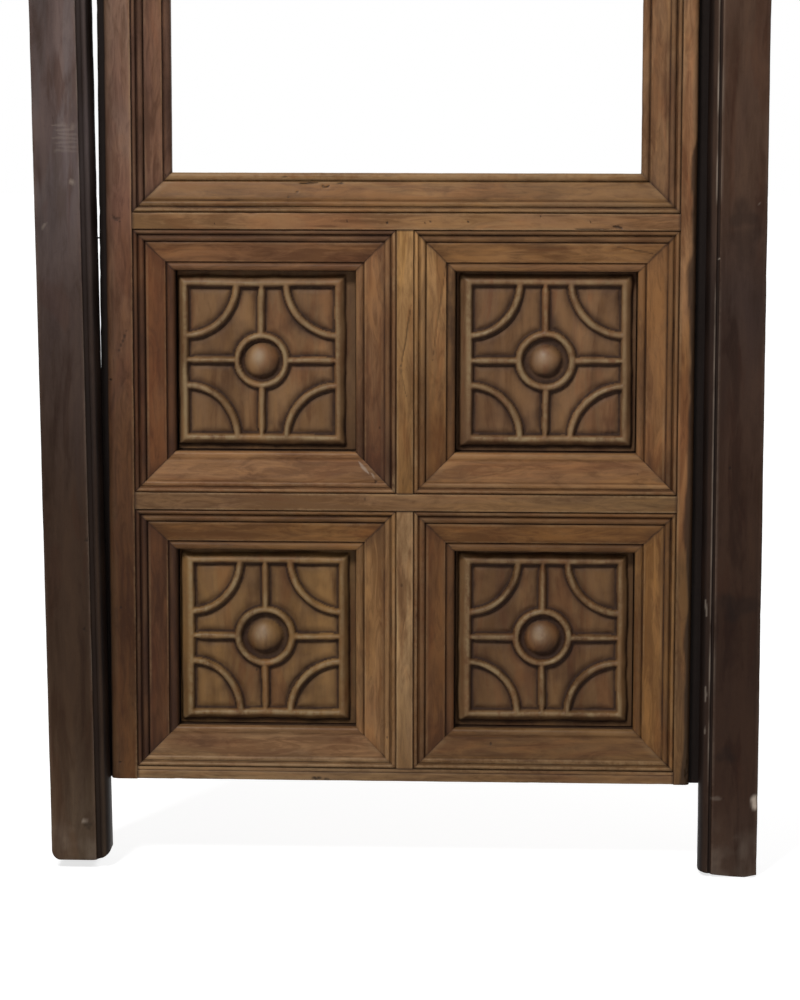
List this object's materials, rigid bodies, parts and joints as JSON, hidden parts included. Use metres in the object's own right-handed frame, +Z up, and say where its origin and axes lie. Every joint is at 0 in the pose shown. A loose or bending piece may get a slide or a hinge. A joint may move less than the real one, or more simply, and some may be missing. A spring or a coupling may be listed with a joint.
{
  "type": "panel door with frame",
  "caption": "Old wooden door leaf with carved square panels below an open window, hung on butt hinges in a dark moulded post-and-head frame.",
  "frame": {"origin": "middle of the footprint of the whole object, at floor level under the longer right leg", "axes": "+Z up, the moulded front faces -Y, +X to the right as seen from the front"},
  "size_m": [1.0022, 0.091, 2.2475],
  "materials": {
    "frame_wood": "dark waxed, worn and scratched",
    "leaf_wood": "old waxed brown wood, rubbed edges",
    "moulding_wood": "old waxed brown wood",
    "muntin_wood": "lighter rubbed wood",
    "carved_wood": "hand carved, waxed, dark in the hollows",
    "peg_wood": "end grain, dull",
    "hinge_iron": "dark wrought iron, dull",
    "screw_steel": "dark old steel"
  },
  "bodies": {
    "frame": {"jamb_left": "frame_wood", "jamb_right": "frame_wood", "frame_head": "frame_wood", "frame_pegs": "peg_wood", "hinge_plate_frame_1": "hinge_iron", "hinge_plate_frame_2": "hinge_iron", "hinge_plate_frame_3": "hinge_iron", "hinge_pin_1": "hinge_iron", "hinge_pin_2": "hinge_iron", "hinge_pin_3": "hinge_iron", "hinge_screws_frame": "screw_steel"},
    "leaf": {"stile_left": "leaf_wood", "stile_right": "leaf_wood", "top_rail": "leaf_wood", "lock_rail": "leaf_wood", "cross_rail": "leaf_wood", "bottom_rail": "leaf_wood", "muntin_upper": "muntin_wood", "muntin_lower": "muntin_wood", "leaf_pegs": "peg_wood", "edge_nail": "hinge_iron", "carved_panel_ul": "carved_wood", "carved_panel_ur": "carved_wood", "carved_panel_ll": "carved_wood", "carved_panel_lr": "carved_wood", "moulding_ul_left": "moulding_wood", "moulding_ul_right": "moulding_wood", "moulding_ul_top": "moulding_wood", "moulding_ul_bottom": "moulding_wood", "moulding_ur_left": "moulding_wood", "moulding_ur_right": "moulding_wood", "moulding_ur_top": "moulding_wood", "moulding_ur_bottom": "moulding_wood", "moulding_ll_left": "moulding_wood", "moulding_ll_right": "moulding_wood", "moulding_ll_top": "moulding_wood", "moulding_ll_bottom": "moulding_wood", "moulding_lr_left": "moulding_wood", "moulding_lr_right": "moulding_wood", "moulding_lr_top": "moulding_wood", "moulding_lr_bottom": "moulding_wood", "moulding_window_left": "moulding_wood", "moulding_window_right": "moulding_wood", "moulding_window_top": "moulding_wood", "moulding_window_bottom": "moulding_wood", "hinge_plate_leaf_1": "hinge_iron", "hinge_plate_leaf_2": "hinge_iron", "hinge_plate_leaf_3": "hinge_iron", "hinge_screws_leaf": "screw_steel"}
  },
  "joints": [
    {"name": "leaf_swing", "type": "hinge", "parent": "frame", "child": "leaf", "pos_m": [0.43031, 0.0395, 1.149], "axis": [0, 0, -1], "range_deg": [0, 170]}
  ]
}
